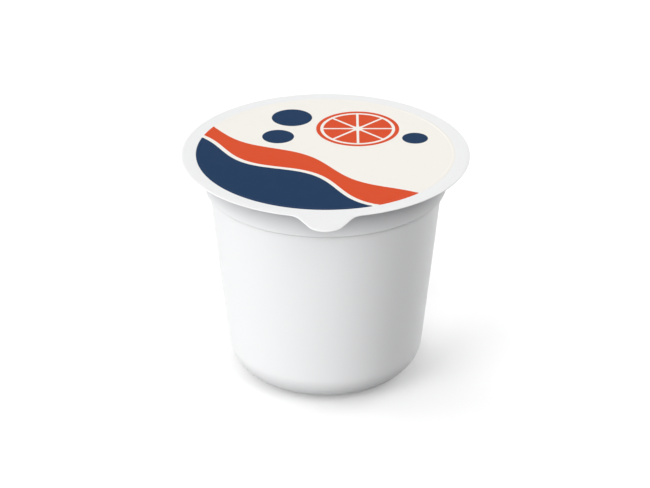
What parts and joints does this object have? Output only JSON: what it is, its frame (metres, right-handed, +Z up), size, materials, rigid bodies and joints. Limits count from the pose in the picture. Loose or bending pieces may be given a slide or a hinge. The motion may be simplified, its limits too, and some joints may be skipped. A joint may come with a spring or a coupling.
{
  "type": "yogurt pot",
  "caption": "Single-serve yogurt pot: white tapered plastic pot with a stepped collar, shut by a flat printed peel lid with a pull tab.",
  "frame": {"origin": "centre of the base, on the surface that the pot stands on", "axes": "+Z up along the pot's axis; the lid's pull tab points along -Y"},
  "size_m": [0.075, 0.0828, 0.0619],
  "materials": {
    "pot_plastic": "satin white, thin formed wall",
    "lid_film": "smooth matte-coated lidding, printed in flat fields"
  },
  "bodies": {
    "root": {"pot": "pot_plastic", "lid": "lid_film"}
  },
  "joints": []
}
